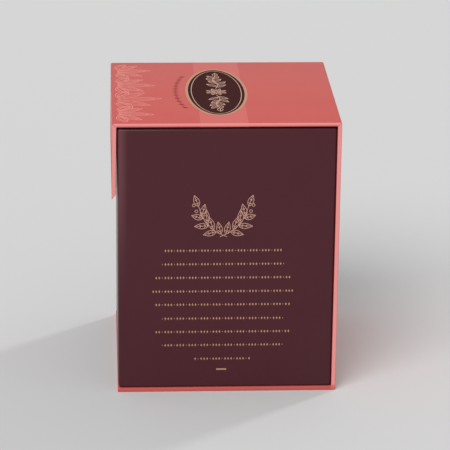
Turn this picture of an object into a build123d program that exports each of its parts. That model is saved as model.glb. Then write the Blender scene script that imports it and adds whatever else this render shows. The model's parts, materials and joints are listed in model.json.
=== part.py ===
from build123d import *
from math import cos, radians, sin, sqrt
import os

# Book-style chocolate box: a wrapped tray glued into a case of base, spine, lid and front flap.
# +Z is up, the flap is at -Y and the spine at +Y. The origin is the middle of the base's underside.
# All sizes are in millimetres.

# Case
case_width = 120.0
case_depth = 124.0  # front edge of the base to the back of the spine
case_height = 160.0
flap_height = 44.2  # top of the lid to the flap's lower edge
flap_bevel = 3.0  # the flap's inner face ends this much higher than its outer face
flap_ajar = 0.6  # degrees that the closed flap hangs away from the tray
flap_gap = 0.3  # flap to tray when it is pressed shut

# Board and paper
board = 2.0
paper = 0.15
turn_in = 15.0  # wrap turned over onto the inner side of a board
lining_margin = 3.0  # lining stops this far from a panel's edge
lining_tail = 25.0  # lining that runs from the lid down the inside of the spine

# Folds
fold_round = 1.0  # outside radius of a paper hinge
hinge_slack = 0.3  # extra room between two boards at a fold
flap_hinge_inset = 0.45  # the flap turns this far inside its outer corner

# Tray
side_overhang = 0.4  # case past the tray's sides
front_overhang = 0.3  # base past the tray's front
tray_round = 1.8  # outer edges of the wrapped tray
lid_rest = 0.8  # rim of the tray to the lid's lining
stay_width = 14.0
stay_tape = 0.08

# Closure
magnet_diameter = 12.0
magnet_thickness = 1.5
keeper_diameter = 12.0
keeper_thickness = 0.8
pocket_slack = 0.1
magnet_spacing = 56.0
magnet_rise = 13.0  # flap's lower edge to the middle of a magnet

# Insert
layers = 3
cells_across = 3
cells_along = 3
card = 0.8
pad = 1.0
headroom = 10.0  # top of the dividers to the rim
insert_slack = 0.3
slot_slack = 0.15

# Levels and faces that several pieces share
panel = board + 3 * paper  # wrap, board, turned-in wrap and lining
setback = paper + board + hinge_slack  # outer corner of a fold to the cut end of a board
half_width = case_width / 2
board_half_width = half_width - paper
y_front = -case_depth / 2
y_rear = case_depth / 2

base_top = board + 2 * paper
tray_width = case_width - 2 * side_overhang
tray_front = y_front + front_overhang
tray_back = y_rear - panel
tray_depth = tray_back - tray_front
tray_middle = (tray_back + tray_front) / 2
tray_bottom = base_top
tray_rim = case_height - panel - lid_rest

y_flap = tray_front - flap_gap - panel  # outer face of the flap when it is shut
lid_front = y_flap + setback
lid_back = y_rear - setback
lid_length = lid_back - lid_front
lid_middle = (lid_back + lid_front) / 2
lid_board_top = case_height - paper
lid_board_bottom = lid_board_top - board
spine_board_inner = y_rear - paper - board
panel_end = setback + hinge_slack  # outer corner of a fold to the end of a lining

# The flap hangs from its hinge line. In flap_section the first coordinate runs inwards from that
# line and the second one upwards. flap_face is seen from outside, its normal points outwards.
flap_axis_y = y_flap + flap_hinge_inset
flap_axis_z = case_height - flap_hinge_inset
ajar_cos = cos(radians(flap_ajar))
ajar_sin = sin(radians(flap_ajar))
flap_section = Plane(
    origin=(0, flap_axis_y, flap_axis_z), x_dir=(0, ajar_cos, -ajar_sin), z_dir=(1, 0, 0)
)
flap_face = Plane(
    origin=(0, flap_axis_y, flap_axis_z), x_dir=(1, 0, 0), z_dir=(0, -ajar_cos, ajar_sin)
)
flap_outer = -flap_hinge_inset
flap_board_outer = flap_outer + paper
flap_board_inner = flap_board_outer + board
flap_turn_in_face = flap_board_inner + paper
flap_inner = flap_outer + panel
flap_top = flap_hinge_inset - setback
flap_lining_top = flap_hinge_inset - panel_end
flap_bottom = flap_hinge_inset - flap_height
bevel_slope = flap_bevel / (board + 2 * paper)
bevel_skin = paper * sqrt(1 + bevel_slope**2)
magnet_level = flap_bottom + magnet_rise
keeper_level = flap_axis_z + magnet_level


def bevel_level(inwards, skin=0):
    """Height of the flap's bevelled lower edge at a distance inwards from the hinge line."""
    return flap_bottom + bevel_slope * (inwards - flap_outer) + skin


def flap_corner(depth):
    """Where the lid's top and the flap's outer face meet, both lowered by depth."""
    inset = flap_hinge_inset - depth
    return (flap_axis_y - inset * (1 - ajar_sin) / ajar_cos, case_height - depth)


def flap_point(inwards, upwards):
    """A point of the flap's section as (y, z)."""
    place = flap_section.from_local_coords((inwards, upwards, 0))
    return (place.Y, place.Z)


def fold_section(side, start, corner, end, inner_end, inner_start, radius):
    """The outline of a folded corner as a sketch, at the distance side from the middle."""
    with BuildSketch(Plane.YZ.offset(side)) as section:
        with BuildLine():
            Polyline(start, corner, end, inner_end, inner_start, close=True)
        make_face()
        bend = section.vertices().sort_by_distance((*corner, 0))[0]
        fillet(bend, radius=radius)
    return section.sketch


def paper_corner(outside, inside):
    """Wrap that goes round the corner between two boards. It is one sheet outside, goes round
    the corner's two ends, and is turned in on the inner side as it is along the boards.
    Outside and inside are the outlines of the wrap and of the hollow in it."""
    window = (*inside[:3], *outside[3:])
    with BuildPart() as corner:
        extrude(fold_section(-half_width, *outside, fold_round), amount=case_width)
        extrude(
            fold_section(-board_half_width, *inside, fold_round - paper),
            amount=2 * board_half_width,
            mode=Mode.SUBTRACT,
        )
        extrude(
            fold_section(turn_in - half_width, *window, fold_round - paper),
            amount=case_width - 2 * turn_in,
            mode=Mode.SUBTRACT,
        )
    return corner


pieces = {}

# Base of the case: a board in its wrap, which also goes round the lower rear corner

with BuildPart() as base_board:
    base_board_length = lid_back - y_front - paper
    with BuildSketch(Plane.XY.offset(paper)):
        with Locations((0, lid_back - base_board_length / 2)):
            Rectangle(2 * board_half_width, base_board_length)
    extrude(amount=board)
pieces["base_board"] = base_board

base_corner = paper_corner(
    outside=(
        (lid_back, 0),
        (y_rear, 0),
        (y_rear, setback),
        (y_rear - base_top, setback),
        (lid_back, base_top),
    ),
    inside=(
        (lid_back, paper),
        (y_rear - paper, paper),
        (y_rear - paper, setback),
        (spine_board_inner, setback),
        (lid_back, paper + board),
    ),
)

with BuildPart() as base_wrap:
    base_wrap_length = lid_back - y_front
    with BuildSketch():
        with Locations((0, lid_back - base_wrap_length / 2)):
            Rectangle(case_width, base_wrap_length)
    extrude(amount=base_top)
    fillet(edges().filter_by(Axis.Y) + edges().group_by(Axis.Y)[0], radius=paper)
    add(base_board.part, mode=Mode.SUBTRACT)
    with BuildSketch(Plane.XY.offset(base_top)):
        with Locations((0, lid_back - (base_wrap_length - turn_in) / 2)):
            Rectangle(case_width - 2 * turn_in, base_wrap_length - turn_in)
    extrude(amount=-paper, mode=Mode.SUBTRACT)
    add(base_corner.part)
pieces["base_wrap"] = base_wrap

# Spine: a board in its wrap, with the tail of the lid's lining inside

spine_height = case_height - 2 * setback

with BuildPart() as spine_board:
    with BuildSketch(Plane.XY.offset(setback)):
        with Locations((0, spine_board_inner + board / 2)):
            Rectangle(2 * board_half_width, board)
    extrude(amount=spine_height)
pieces["spine_board"] = spine_board

with BuildPart() as spine_wrap:
    with BuildSketch(Plane.XY.offset(setback)):
        with Locations((0, y_rear - base_top / 2)):
            Rectangle(case_width, base_top)
    extrude(amount=spine_height)
    fillet(edges().filter_by(Axis.Z), radius=paper)
    add(spine_board.part, mode=Mode.SUBTRACT)
    with BuildSketch(Plane.XY.offset(setback)):
        with Locations((0, spine_board_inner - paper / 2)):
            Rectangle(case_width - 2 * turn_in, paper)
    extrude(amount=spine_height, mode=Mode.SUBTRACT)
pieces["spine_wrap"] = spine_wrap

with BuildPart() as spine_lining:
    with BuildSketch(Plane.XY.offset(case_height - panel_end)):
        with Locations((0, tray_back + paper / 2)):
            Rectangle(case_width - 2 * lining_margin, paper)
        with Locations((0, tray_back + paper)):
            Rectangle(case_width - 2 * turn_in, 2 * paper)
    extrude(amount=-lining_tail)
pieces["spine_lining"] = spine_lining

# Lid: a board, its wrap turned in at both sides, and its lining

with BuildPart() as lid_board:
    with BuildSketch(Plane.XY.offset(lid_board_bottom)):
        with Locations((0, lid_middle)):
            Rectangle(2 * board_half_width, lid_length)
    extrude(amount=board)
pieces["lid_board"] = lid_board

with BuildPart() as lid_wrap:
    with BuildSketch(Plane.XY.offset(lid_board_bottom - paper)):
        with Locations((0, lid_middle)):
            Rectangle(case_width, lid_length)
    extrude(amount=base_top)
    fillet(edges().filter_by(Axis.Y), radius=paper)
    add(lid_board.part, mode=Mode.SUBTRACT)
    with BuildSketch(Plane.XY.offset(lid_board_bottom)):
        with Locations((0, lid_middle)):
            Rectangle(case_width - 2 * turn_in, lid_length)
    extrude(amount=-paper, mode=Mode.SUBTRACT)
pieces["lid_wrap"] = lid_wrap

with BuildPart() as lid_lining:
    lining_length = lid_length - 2 * hinge_slack
    with BuildSketch(Plane.XY.offset(case_height - panel)):
        with Locations((0, lid_middle)):
            Rectangle(case_width - 2 * lining_margin, lining_length)
    extrude(amount=paper)
    with BuildSketch(Plane.XY.offset(case_height - panel)):
        with Locations((0, lid_middle)):
            Rectangle(case_width - 2 * turn_in, lining_length)
    extrude(amount=2 * paper)
pieces["lid_lining"] = lid_lining

# Flap: a board with a bevelled lower edge and two magnets, its wrap turned in at three sides

with BuildPart() as flap_board:
    with BuildSketch(flap_section):
        with BuildLine():
            Polyline(
                (flap_board_outer, flap_top),
                (flap_board_inner, flap_top),
                (flap_board_inner, bevel_level(flap_board_inner, bevel_skin)),
                (flap_board_outer, bevel_level(flap_board_outer, bevel_skin)),
                close=True,
            )
        make_face()
    extrude(amount=board_half_width, both=True)
    solid_flap_board = flap_board.part
    with BuildSketch(flap_face.offset(-flap_board_inner)):
        with Locations((magnet_spacing / 2, magnet_level), (-magnet_spacing / 2, magnet_level)):
            Circle(magnet_diameter / 2 + pocket_slack)
    extrude(amount=magnet_thickness, mode=Mode.SUBTRACT)
pieces["flap_board"] = flap_board

with BuildPart() as flap_wrap:
    with BuildSketch(flap_section):
        with BuildLine():
            Polyline(
                (flap_outer, flap_top),
                (flap_turn_in_face, flap_top),
                (flap_turn_in_face, bevel_level(flap_turn_in_face)),
                (flap_outer, bevel_level(flap_outer)),
                close=True,
            )
        make_face()
    extrude(amount=half_width, both=True)
    low_edges = edges().filter_by(Axis.X).group_by(Axis.Z)[0:2]
    side_faces = faces().filter_by(Axis.X)
    side_edges = side_faces.edges().filter_by(lambda edge: edge.length > base_top)
    fillet(low_edges[0] + low_edges[1] + side_edges, radius=paper)
    add(solid_flap_board, mode=Mode.SUBTRACT)
    with BuildSketch(flap_face.offset(-flap_turn_in_face)):
        with Locations((0, (flap_top + flap_bottom + turn_in) / 2)):
            Rectangle(case_width - 2 * turn_in, flap_top - flap_bottom - turn_in)
    extrude(amount=paper, mode=Mode.SUBTRACT)
pieces["flap_wrap"] = flap_wrap

with BuildPart() as flap_lining:
    lining_bottom = bevel_level(flap_turn_in_face) + lining_margin
    with BuildSketch(flap_face.offset(-flap_inner)):
        with Locations((0, (flap_lining_top + lining_bottom) / 2)):
            Rectangle(case_width - 2 * lining_margin, flap_lining_top - lining_bottom)
    extrude(amount=paper)
    filler_bottom = flap_bottom + turn_in
    with BuildSketch(flap_face.offset(-flap_inner)):
        with Locations((0, (flap_lining_top + filler_bottom) / 2)):
            Rectangle(case_width - 2 * turn_in, flap_lining_top - filler_bottom)
    extrude(amount=2 * paper)
pieces["flap_lining"] = flap_lining

for side, place in (("left", -magnet_spacing / 2), ("right", magnet_spacing / 2)):
    with BuildPart() as magnet:
        with BuildSketch(flap_face.offset(-flap_board_inner)):
            with Locations((place, magnet_level)):
                Circle(magnet_diameter / 2)
        extrude(amount=magnet_thickness)
    pieces[f"magnet_{side}"] = magnet

# Paper hinges: the wrap outside and the lining inside, at the lid's rear and front edges

pieces["rear_fold"] = paper_corner(
    outside=(
        (lid_back, case_height),
        (y_rear, case_height),
        (y_rear, case_height - setback),
        (y_rear - base_top, case_height - setback),
        (lid_back, lid_board_bottom - paper),
    ),
    inside=(
        (lid_back, lid_board_top),
        (y_rear - paper, lid_board_top),
        (y_rear - paper, case_height - setback),
        (spine_board_inner, case_height - setback),
        (lid_back, lid_board_bottom),
    ),
)

with BuildPart() as rear_fold_lining:
    with BuildSketch(Plane.YZ):
        with BuildLine():
            Polyline(
                (y_rear - panel_end, case_height - panel + paper),
                (y_rear - panel_end, case_height - panel),
                (tray_back, case_height - panel_end),
                (tray_back + paper, case_height - panel_end),
                close=True,
            )
        make_face()
    extrude(amount=half_width - lining_margin, both=True)
pieces["rear_fold_lining"] = rear_fold_lining

pieces["front_fold"] = paper_corner(
    outside=(
        (lid_front, case_height),
        flap_corner(0),
        flap_point(flap_outer, flap_top),
        flap_point(flap_turn_in_face, flap_top),
        (lid_front, lid_board_bottom - paper),
    ),
    inside=(
        (lid_front, lid_board_top),
        flap_corner(paper),
        flap_point(flap_board_outer, flap_top),
        flap_point(flap_board_inner, flap_top),
        (lid_front, lid_board_bottom),
    ),
)

with BuildPart() as front_fold_lining:
    with BuildSketch(Plane.YZ):
        with BuildLine():
            Polyline(
                (y_flap + panel_end, case_height - panel + paper),
                (y_flap + panel_end, case_height - panel),
                flap_point(flap_inner, flap_lining_top),
                flap_point(flap_inner - paper, flap_lining_top),
                close=True,
            )
        make_face()
    extrude(amount=half_width - lining_margin, both=True)
pieces["front_fold_lining"] = front_fold_lining

# Tray: the outer shapes of its boards and of its wrap, used to cut the pieces

tray_height = tray_rim - tray_bottom
core_bottom = tray_bottom + paper
core_height = tray_height - 2 * paper
core_width = tray_width - 2 * paper
core_depth = tray_depth - 2 * paper
core_round = tray_round - paper
inner_width = core_width - 2 * board
inner_depth = core_depth - 2 * board
floor_top = core_bottom + board

with BuildPart() as core_shape:
    with BuildSketch(Plane.XY.offset(core_bottom)):
        with Locations((0, tray_middle)):
            Rectangle(core_width, core_depth)
    extrude(amount=core_height)
    fillet(edges(), radius=core_round)

with BuildPart() as tray_floor:
    with BuildSketch(Plane.XY.offset(core_bottom)):
        with Locations((0, tray_middle)):
            Rectangle(inner_width, inner_depth)
    extrude(amount=board)
pieces["tray_floor"] = tray_floor

with BuildPart() as tray_front_wall:
    with BuildSketch(Plane.XY.offset(core_bottom)):
        with Locations((0, tray_front + paper + board / 2)):
            Rectangle(core_width, board)
    extrude(amount=core_height)
    add(core_shape.part, mode=Mode.INTERSECT)
    solid_front_wall = tray_front_wall.part
    with BuildSketch(Plane.XZ.offset(-tray_front - paper)):
        with Locations((magnet_spacing / 2, keeper_level), (-magnet_spacing / 2, keeper_level)):
            Circle(keeper_diameter / 2 + pocket_slack)
    extrude(amount=-keeper_thickness, mode=Mode.SUBTRACT)
pieces["tray_front_wall"] = tray_front_wall

with BuildPart() as tray_back_wall:
    with BuildSketch(Plane.XY.offset(core_bottom)):
        with Locations((0, tray_back - paper - board / 2)):
            Rectangle(core_width, board)
    extrude(amount=core_height)
    add(core_shape.part, mode=Mode.INTERSECT)
pieces["tray_back_wall"] = tray_back_wall

side_walls = {}
for side, sign in (("left", -1), ("right", 1)):
    with BuildPart() as side_wall:
        with BuildSketch(Plane.XY.offset(core_bottom)):
            with Locations((sign * (core_width - board) / 2, tray_middle)):
                Rectangle(board, inner_depth)
        extrude(amount=core_height)
        add(core_shape.part, mode=Mode.INTERSECT)
    side_walls[side] = side_wall
    pieces[f"tray_{side}_wall"] = side_wall

with BuildPart() as corner_stays:
    with BuildSketch(Plane.XY.offset(tray_bottom + tray_round)):
        with Locations((0, tray_middle)):
            RectangleRounded(
                core_width + 2 * stay_tape, core_depth + 2 * stay_tape, core_round + stay_tape
            )
            Rectangle(core_width - 2 * stay_width, tray_depth, mode=Mode.SUBTRACT)
            Rectangle(tray_width, core_depth - 2 * stay_width, mode=Mode.SUBTRACT)
            RectangleRounded(core_width, core_depth, core_round, mode=Mode.SUBTRACT)
    extrude(amount=tray_height - 2 * tray_round)
pieces["corner_stays"] = corner_stays

with BuildPart() as tray_wrap:
    with BuildSketch(Plane.XY.offset(tray_bottom)):
        with Locations((0, tray_middle)):
            Rectangle(tray_width, tray_depth)
    extrude(amount=tray_height)
    fillet(edges(), radius=tray_round)
    with BuildSketch(Plane.XY.offset(tray_bottom)):
        with Locations((0, tray_middle)):
            Rectangle(inner_width, inner_depth)
    extrude(amount=tray_height - turn_in, mode=Mode.SUBTRACT)
    with BuildSketch(Plane.XY.offset(tray_rim)):
        with Locations((0, tray_middle)):
            Rectangle(inner_width - 2 * paper, inner_depth - 2 * paper)
    extrude(amount=-turn_in, mode=Mode.SUBTRACT)
    for wall in (solid_front_wall, tray_back_wall.part, side_walls["left"].part):
        add(wall, mode=Mode.SUBTRACT)
    add(side_walls["right"].part, mode=Mode.SUBTRACT)
    add(corner_stays.part, mode=Mode.SUBTRACT)
pieces["tray_wrap"] = tray_wrap

with BuildPart() as tray_lining:
    lining_top = tray_rim - lining_margin
    with BuildSketch(Plane.XY.offset(floor_top)):
        with Locations((0, tray_middle)):
            Rectangle(inner_width, inner_depth)
    extrude(amount=lining_top - floor_top)
    with BuildSketch(Plane.XY.offset(lining_top)):
        with Locations((0, tray_middle)):
            Rectangle(inner_width - 4 * paper, inner_depth - 4 * paper)
    extrude(amount=floor_top + 2 * paper - lining_top, mode=Mode.SUBTRACT)
    add(tray_wrap.part, mode=Mode.SUBTRACT)
pieces["tray_lining"] = tray_lining

for side, place in (("left", -magnet_spacing / 2), ("right", magnet_spacing / 2)):
    with BuildPart() as keeper:
        with BuildSketch(Plane.XZ.offset(-tray_front - paper)):
            with Locations((place, keeper_level)):
                Circle(keeper_diameter / 2)
        extrude(amount=-keeper_thickness)
    pieces[f"keeper_{side}"] = keeper

# Insert: layers of card dividers that cross in half slots, with a pad between two layers

cavity_width = inner_width - 4 * paper
cavity_depth = inner_depth - 4 * paper
cavity_floor = floor_top + 2 * paper
divider_height = (tray_rim - headroom - cavity_floor - (layers - 1) * pad) / layers
strip_across = cavity_width - 2 * insert_slack
strip_along = cavity_depth - 2 * insert_slack
places_across = [cavity_width * (i / cells_across - 1 / 2) for i in range(1, cells_across)]
places_along = [
    tray_middle + cavity_depth * (i / cells_along - 1 / 2) for i in range(1, cells_along)
]
slot_width = card + 2 * slot_slack
slot_height = divider_height / 2 + slot_slack

for layer in range(1, layers + 1):
    layer_floor = cavity_floor + (layer - 1) * (divider_height + pad)
    layer_top = layer_floor + divider_height

    if layer > 1:
        with BuildPart() as layer_pad:
            with BuildSketch(Plane.XY.offset(layer_floor - pad)):
                with Locations((0, tray_middle)):
                    Rectangle(strip_across, strip_along)
            extrude(amount=pad)
        pieces[f"layer_pad_{layer}"] = layer_pad

    for number, x in enumerate(places_across, 1):
        with BuildPart() as long_divider:
            with BuildSketch(Plane.XY.offset(layer_floor)):
                with Locations((x, tray_middle)):
                    Rectangle(card, strip_along)
            extrude(amount=divider_height)
            with BuildSketch(Plane.XY.offset(layer_top)):
                with Locations([(x, y) for y in places_along]):
                    Rectangle(slot_width, slot_width)
            extrude(amount=-slot_height, mode=Mode.SUBTRACT)
        pieces[f"layer_{layer}_long_divider_{number}"] = long_divider

    for number, y in enumerate(places_along, 1):
        with BuildPart() as cross_divider:
            with BuildSketch(Plane.XY.offset(layer_floor)):
                with Locations((0, y)):
                    Rectangle(strip_across, card)
            extrude(amount=divider_height)
            with BuildSketch(Plane.XY.offset(layer_floor)):
                with Locations([(x, y) for x in places_across]):
                    Rectangle(slot_width, slot_width)
            extrude(amount=slot_height, mode=Mode.SUBTRACT)
        pieces[f"layer_{layer}_cross_divider_{number}"] = cross_divider

os.makedirs("parts", exist_ok=True)
for name, piece in pieces.items():
    piece.part.label = name
    export_step(piece.part, f"parts/{name}.step")

print("pieces:", len(pieces))
print("lid hinge: y", y_rear, "z", case_height)
print("flap hinge: y", flap_axis_y, "z", flap_axis_z)
print("cells across at", places_across, "along at", places_along)
print("dividers", divider_height, "high, cavity floor at", cavity_floor, "rim at", tray_rim)
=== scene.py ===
# %% [markdown]
# A book-style chocolate box.
# The box comes from CAD as a fixed frame: every part is already there at its real size, and knows
# which body it moves with. This script adds what the eye sees: paper wrapped round board, printed
# foil, card and soft studio light. Loading the frame comes first, because every new piece is
# placed by the sizes of the parts that it covers.

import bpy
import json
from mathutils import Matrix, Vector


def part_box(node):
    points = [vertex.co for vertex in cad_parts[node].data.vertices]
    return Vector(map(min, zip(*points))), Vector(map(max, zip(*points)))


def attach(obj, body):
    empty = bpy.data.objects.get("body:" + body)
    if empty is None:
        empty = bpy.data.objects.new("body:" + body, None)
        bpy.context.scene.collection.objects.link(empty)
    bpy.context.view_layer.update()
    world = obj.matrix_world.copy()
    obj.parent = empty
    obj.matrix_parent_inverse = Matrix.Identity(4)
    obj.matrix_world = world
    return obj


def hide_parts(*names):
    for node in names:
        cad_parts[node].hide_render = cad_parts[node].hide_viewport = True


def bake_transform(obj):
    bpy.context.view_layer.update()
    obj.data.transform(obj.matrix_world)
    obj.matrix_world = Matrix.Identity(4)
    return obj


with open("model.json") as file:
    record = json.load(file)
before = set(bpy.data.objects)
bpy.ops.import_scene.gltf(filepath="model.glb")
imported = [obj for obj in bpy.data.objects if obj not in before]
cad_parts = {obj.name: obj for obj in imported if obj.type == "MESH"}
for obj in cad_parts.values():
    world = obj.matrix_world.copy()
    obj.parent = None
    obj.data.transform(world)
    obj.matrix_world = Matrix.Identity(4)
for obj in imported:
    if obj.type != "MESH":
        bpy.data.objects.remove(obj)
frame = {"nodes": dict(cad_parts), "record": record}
print("nodes from CAD:", len(frame["nodes"]))

# %% Modules, and the scene brought up to date
import json
from math import cos, pi, radians, sin

import bmesh
import bpy
from mathutils import Matrix, Vector

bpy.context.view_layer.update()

# %% [markdown]
# All sizes below are in millimetres, as a box maker gives them, and one function turns them into
# Blender's metres. The hinge lines are those of the real joints. The flap hangs a little away from
# the tray, so its own directions are worked out once, from the angle at which it hangs.

# %% Sizes of the case
case_width, case_height = 120, 160
front, rear = -62, 62  # front edge of the base and outer face of the spine
board, paper = 2, 0.15
skin = 2.3  # board with its wrap on both sides
setback = 2.45  # outer corner of a fold to the cut ends of its boards
turn_in = 15  # how far the paper reaches round an edge
side = case_width / 2
flap_angle = radians(0.6)  # how far the flap stands open at rest
flap_line = Vector((0, -64, 159.55))  # the flap turns about this line
flap_in = Vector((0, cos(flap_angle), -sin(flap_angle)))
flap_up = Vector((0, sin(flap_angle), cos(flap_angle)))


def mm(x, y, z):
    """A point or a size in millimetres as a vector in metres."""
    return Vector((x, y, z)) / 1000


def on_flap(inwards, upwards):
    """A point of the flap's section as (y, z), from its hinge line."""
    point = flap_line + inwards * flap_in + upwards * flap_up
    return point.y, point.z


for name in ("base_wrap", "spine_wrap", "lid_wrap", "flap_wrap", "tray_wrap"):
    low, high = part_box(name)
    print(name, [round(v * 1000, 2) for v in low], [round(v * 1000, 2) for v in high])

# %% [markdown]
# The camera stands in front of the box's right side, a little above it, far away and with a long
# lens, as for a product photograph. It is set before the pieces, because what it sees decides how
# much detail each of them needs.

# %% Camera
# Place in metres and directions were fitted to the corners of the box in the photograph.
camera_place = Vector((1.36941, -0.07167, 0.57347))
camera_forward = Vector((-0.93938, 0.04998, -0.3392)).normalized()
camera_right = Vector((0.04942, 0.99873, 0.01028))
camera_up = camera_right.cross(camera_forward).normalized()
camera_right = camera_forward.cross(camera_up)

bpy.ops.object.camera_add()
camera = bpy.context.active_object
camera.name = "photo_camera"
camera.matrix_world = Matrix.Translation(camera_place) @ Matrix(
    (camera_right, camera_up, -camera_forward)
).transposed().to_4x4()
camera.data.sensor_width = 36
camera.data.lens = 200.4
camera.data.clip_end = 20
bpy.context.scene.camera = camera
print("lens", camera.data.lens, "mm, at", [round(v, 3) for v in camera.location])

# %% [markdown]
# Modelling by hand in Blender means: select something, then do something to it. These helpers do
# the selecting. Everything is deselected first, since an operator acts on all that is selected.

# %% Selecting
def deselect():
    """Leaves edit mode and selects nothing."""
    if bpy.context.mode != "OBJECT":
        bpy.ops.object.mode_set(mode="OBJECT")
    bpy.ops.object.select_all(action="DESELECT")


def choose(piece):
    """Makes one piece the only selected one."""
    deselect()
    piece.select_set(True)
    bpy.context.view_layer.objects.active = piece


def pick(piece, kind, test):
    """In edit mode, selects the verts, edges or faces that pass a test."""
    bpy.ops.mesh.select_mode(type={"verts": "VERT", "edges": "EDGE", "faces": "FACE"}[kind])
    bpy.ops.mesh.select_all(action="DESELECT")
    mesh = bmesh.from_edit_mesh(piece.data)
    for part in getattr(mesh, kind):
        if test(part):
            part.select_set(True)
    bmesh.update_edit_mesh(piece.data)


def middle(edge):
    """The middle of an edge in millimetres."""
    return (edge.verts[0].co + edge.verts[1].co) * 500


def runs_across(edge):
    """Whether an edge runs from the left of the box to the right."""
    return abs((edge.verts[1].co - edge.verts[0].co).normalized().x) > 0.99


def round_edges(piece, test, radius, segments):
    """Bevels the edges that pass a test to a radius in millimetres."""
    pick(piece, "edges", test)
    bpy.ops.mesh.bevel(offset=radius / 1000, segments=segments, affect="EDGES")


# %% [markdown]
# The case of a book-style box is four boards in one sheet of paper: base, spine, lid and flap. It
# could be made as four slabs, but then every fold would show a seam. So its whole section is drawn
# first, by pulling one point round the outline, and then pulled out to the full width. The outer
# corners get the wide rounding of folded paper, and all other edges the small one of paper that is
# pressed round cut board.

# %% Draw a section and pull it out
def draw_section(name, outline, left, right):
    """Draws a closed outline of (y, z) points and pulls it from x = left to x = right."""
    deselect()
    bpy.ops.mesh.primitive_plane_add(size=0.001)
    piece = bpy.context.active_object
    piece.name = piece.data.name = name
    bpy.ops.object.mode_set(mode="EDIT")
    bpy.ops.mesh.select_mode(type="VERT")
    bpy.ops.mesh.select_all(action="SELECT")
    bpy.ops.mesh.merge(type="CENTER")
    corners = [mm(left, y, z) for y, z in outline]
    bpy.ops.transform.translate(value=corners[0])
    for here, there in zip(corners, corners[1:]):
        bpy.ops.mesh.extrude_vertices_move(TRANSFORM_OT_translate={"value": there - here})
    bpy.ops.mesh.select_all(action="SELECT")
    bpy.ops.mesh.edge_face_add()
    bpy.ops.mesh.select_all(action="SELECT")
    bpy.ops.mesh.extrude_region_move(TRANSFORM_OT_translate={"value": mm(right - left, 0, 0)})
    bpy.ops.mesh.select_all(action="SELECT")
    bpy.ops.mesh.normals_make_consistent(inside=False)
    return piece


print("the case's section will be pulled out to", case_width, "mm")

# %% The section of the whole case
flap_low = -43.75  # lower edge of the flap's outer face, from the hinge line
flap_top = -2.0  # upper end of the flap's board
flap_outer, flap_inner = -0.45, 1.85
flap_bevel = 3  # the flap's inner face ends higher, because its lower edge is cut at a slant
front_corner = (-64.445, case_height)  # where lid and flap meet on the outside
lid_rear, lid_front = rear - setback, -62.0
case_outline = [
    (front, 0),
    (rear, 0),
    (rear, case_height),
    front_corner,
    on_flap(flap_outer, flap_low),
    on_flap(flap_inner, flap_low + flap_bevel),
    on_flap(flap_inner, flap_top),
    (lid_front, case_height - skin),
    (lid_rear, case_height - skin),
    (rear - skin, case_height - setback),
    (rear - skin, setback),
    (lid_rear, skin),
    (front, skin),
]
whole_case = draw_section("whole_case", case_outline, -side, side)
print("corners of the section:", len(case_outline))

# %% Round the folds and the edges
def is_near(point, y, z):
    """Whether a point lies within a tenth of a millimetre of (y, z)."""
    return abs(point.y - y) < 0.1 and abs(point.z - z) < 0.1


def is_fold(edge):
    """Whether an edge is one of the three outer corners where the paper folds."""
    return runs_across(edge) and any(
        is_near(middle(edge), y, z) for y, z in ((rear, 0), (rear, case_height), front_corner)
    )


def is_board_edge(edge):
    """Whether an edge is at the base's front, the flap's end or anywhere on the case's sides."""
    at_side = abs(abs(middle(edge).x) - side) < 0.01
    ends = (case_outline[0], case_outline[-1], *case_outline[4:6])
    return at_side or runs_across(edge) and any(is_near(middle(edge), y, z) for y, z in ends)


fold_round, edge_round = 1.0, 0.3
round_edges(whole_case, is_fold, fold_round, segments=5)
round_edges(whole_case, is_board_edge, edge_round, segments=3)
bpy.ops.object.mode_set(mode="OBJECT")
print("faces of the whole case:", len(whole_case.data.polygons))

# %% [markdown]
# Now the case is cut where the CAD part has it cut: at the ends of the boards. Each part is a copy
# of the whole, cut off at planes with bisect, so that neighbours meet point for point. The papers
# are then hollowed with the shape of the board that they go round, and opened on their inner side,
# where the paper is only turned in by 15 mm. The two paper hinges stay closed.

# %% Cut the case into its papers
def part_of_case(name, cuts):
    """A copy of the whole case with everything beyond the cuts taken away."""
    choose(whole_case)
    bpy.ops.object.duplicate()
    piece = bpy.context.active_object
    piece.name = piece.data.name = name
    bpy.ops.object.mode_set(mode="EDIT")
    for place, direction in cuts:
        bpy.ops.mesh.select_all(action="SELECT")
        bpy.ops.mesh.bisect(
            plane_co=Vector(place) / 1000,
            plane_no=direction,
            use_fill=True,
            clear_outer=True,
            threshold=1e-7,
        )
    bpy.ops.object.mode_set(mode="OBJECT")
    return piece


up, down, back, ahead = (0, 0, 1), (0, 0, -1), (0, 1, 0), (0, -1, 0)
half_way = (0, 0, case_height / 2)
above_base, below_lid = (0, 0, setback), (0, 0, case_height - setback)
flap_start = (0, *on_flap(0, flap_top))
behind_lid, before_lid = (0, lid_rear, 0), (0, lid_front, 0)
base_paper = part_of_case("base_paper", [(above_base, up)])
spine_paper = part_of_case(
    "spine_paper", [(half_way, ahead), (above_base, down), (below_lid, up)]
)
rear_fold_paper = part_of_case("rear_fold_paper", [(behind_lid, ahead), (below_lid, down)])
lid_paper = part_of_case(
    "lid_paper", [(half_way, down), (behind_lid, back), (before_lid, ahead)]
)
front_fold_paper = part_of_case(
    "front_fold_paper", [(before_lid, back), (flap_start, tuple(-flap_up))]
)
flap_paper = part_of_case(
    "flap_paper", [(half_way, back), (half_way, down), (flap_start, tuple(flap_up))]
)
case_papers = (
    base_paper, spine_paper, lid_paper, flap_paper, rear_fold_paper, front_fold_paper
)
bpy.data.objects.remove(whole_case)
print("papers cut:", [piece.name for piece in case_papers])

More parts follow.
